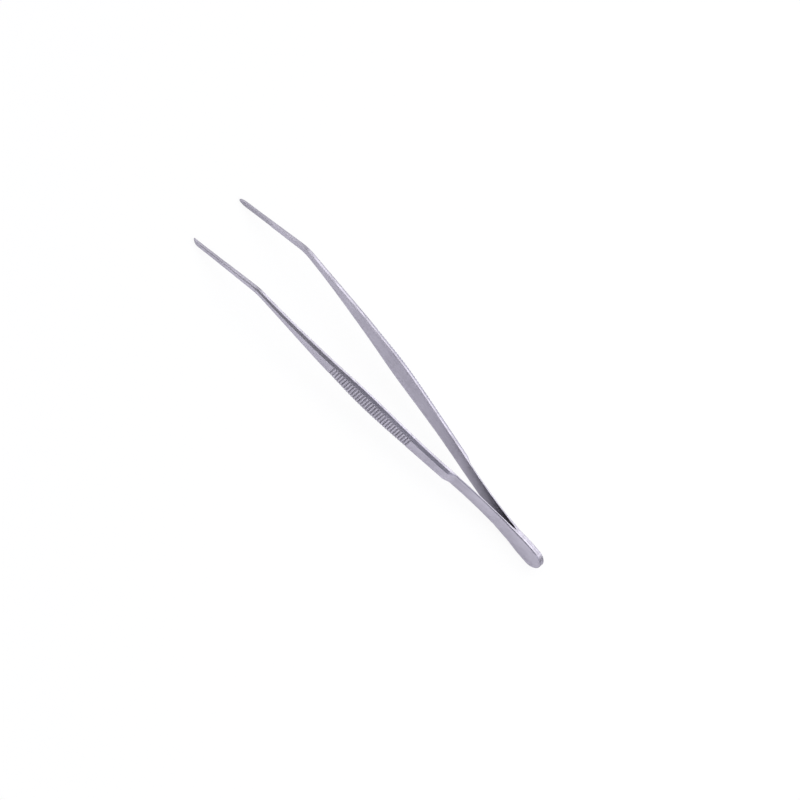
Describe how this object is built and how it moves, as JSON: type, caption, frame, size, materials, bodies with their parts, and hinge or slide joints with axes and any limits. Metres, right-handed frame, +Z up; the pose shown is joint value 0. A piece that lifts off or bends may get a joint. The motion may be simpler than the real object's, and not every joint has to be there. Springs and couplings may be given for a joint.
{
  "type": "angled tweezers",
  "caption": "Slim spring tweezers with a round welded butt, cross-grooved grips and angled toothed tips, for picking and placing small things.",
  "frame": {"origin": "on the surface the tweezers rest on, under the middle of their bounding box", "axes": "+X from the butt towards the tips, +Y from the right arm to the left arm, +Z up; the tweezers rest like a low arch on the butt and both tips"},
  "size_m": [0.161, 0.0264, 0.0123],
  "materials": {
    "satin_steel": "satin-ground stainless steel"
  },
  "bodies": {
    "root": {"left_arm": "satin_steel", "right_arm": "satin_steel"}
  },
  "joints": []
}
